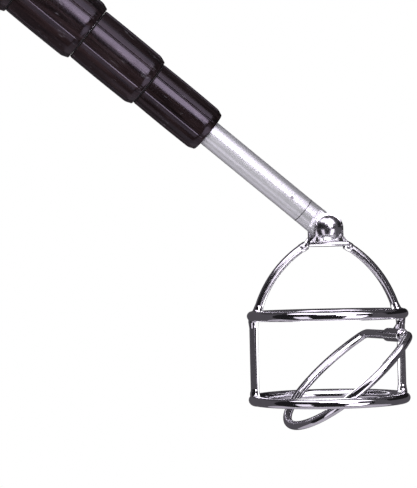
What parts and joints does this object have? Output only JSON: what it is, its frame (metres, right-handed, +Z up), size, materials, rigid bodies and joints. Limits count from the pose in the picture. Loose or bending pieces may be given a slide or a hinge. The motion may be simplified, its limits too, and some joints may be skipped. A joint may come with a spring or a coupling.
{
  "type": "golf ball retriever",
  "caption": "Telescopic golf ball retriever: rubber grip, nested aluminium tubes with fluted black collars, a swivelling chromed wire cage and a hinged wire gate that holds the ball.",
  "frame": {"origin": "middle of the grip, on the pole's axis", "axes": "+Z up, +X to the right in the picture, along which the pole runs down to the cage, +Y away from the viewer and along the swivel pin"},
  "size_m": [0.3795, 0.057, 0.3648],
  "materials": {
    "grip_rubber": "matt black moulded rubber with ring grooves",
    "butt_plastic": "black moulded plastic, fine texture",
    "tube_aluminium": "satin drawn aluminium with fine lengthwise brushing",
    "collar_plastic": "near-black semi-gloss moulded plastic",
    "friction_rubber": "dark grey rubber",
    "bush_plastic": "natural white nylon",
    "plug_aluminium": "satin turned aluminium",
    "stake_steel": "plain steel, flattened ends",
    "clevis_chrome": "bright plated pressed steel",
    "rivet_chrome": "bright plated domed rivet",
    "washer_plastic": "natural nylon",
    "cage_chrome": "bright plated steel wire",
    "weld_chrome": "plated weld bead, slightly rough",
    "hinge_chrome": "bright plated steel",
    "gate_chrome": "bright plated steel wire"
  },
  "bodies": {
    "handle": {"grip_sleeve": "grip_rubber", "butt_cap": "butt_plastic", "handle_tube": "tube_aluminium", "handle_collar": "collar_plastic", "handle_friction_ring": "friction_rubber"},
    "section_4": {"tube_4": "tube_aluminium", "tail_bush_4": "bush_plastic", "collar_4": "collar_plastic", "friction_ring_4": "friction_rubber"},
    "section_3": {"tube_3": "tube_aluminium", "tail_bush_3": "bush_plastic", "collar_3": "collar_plastic", "friction_ring_3": "friction_rubber"},
    "section_2": {"tube_2": "tube_aluminium", "tail_bush_2": "bush_plastic", "collar_2": "collar_plastic", "friction_ring_2": "friction_rubber"},
    "section_1": {"tube_1": "tube_aluminium", "tail_bush_1": "bush_plastic", "collar_1": "collar_plastic", "friction_ring_1": "friction_rubber"},
    "tip": {"tip_tube": "tube_aluminium", "tip_tail_bush": "bush_plastic", "swivel_plug": "plug_aluminium", "stake_pin": "stake_steel"},
    "head": {"clevis_bracket": "clevis_chrome", "pivot_rivet": "rivet_chrome", "pivot_washers": "washer_plastic", "left_leg": "cage_chrome", "right_leg": "cage_chrome", "top_ring": "cage_chrome", "left_post": "cage_chrome", "right_post": "cage_chrome", "bottom_ring": "cage_chrome", "hinge_barrel": "hinge_chrome", "hinge_strut": "hinge_chrome", "weld_beads": "weld_chrome"},
    "gate": {"gate_ring": "gate_chrome"}
  },
  "joints": [
    {"name": "section_4_slide", "type": "slide", "parent": "handle", "child": "section_4", "axis": [0.7694, 0, -0.6388], "range_m": [0, 0.24]},
    {"name": "section_3_slide", "type": "slide", "parent": "section_4", "child": "section_3", "axis": [0.7694, 0, -0.6388], "range_m": [0, 0.24]},
    {"name": "section_2_slide", "type": "slide", "parent": "section_3", "child": "section_2", "axis": [0.7694, 0, -0.6388], "range_m": [0, 0.24]},
    {"name": "section_1_slide", "type": "slide", "parent": "section_2", "child": "section_1", "axis": [0.7694, 0, -0.6388], "range_m": [0, 0.24]},
    {"name": "tip_slide", "type": "slide", "parent": "section_1", "child": "tip", "axis": [0.7694, 0, -0.6388], "range_m": [0, 0.24]},
    {"name": "head_swivel", "type": "hinge", "parent": "tip", "child": "head", "pos_m": [0.24121, 0, -0.20025], "axis": [0, 1, 0], "range_deg": [-135, 34.5]},
    {"name": "gate_hinge", "type": "hinge", "parent": "head", "child": "gate", "pos_m": [0.26356, 0.00314, -0.23845], "axis": [-0.1392, 0.9903, 0], "range_deg": [0, 24.5]}
  ]
}
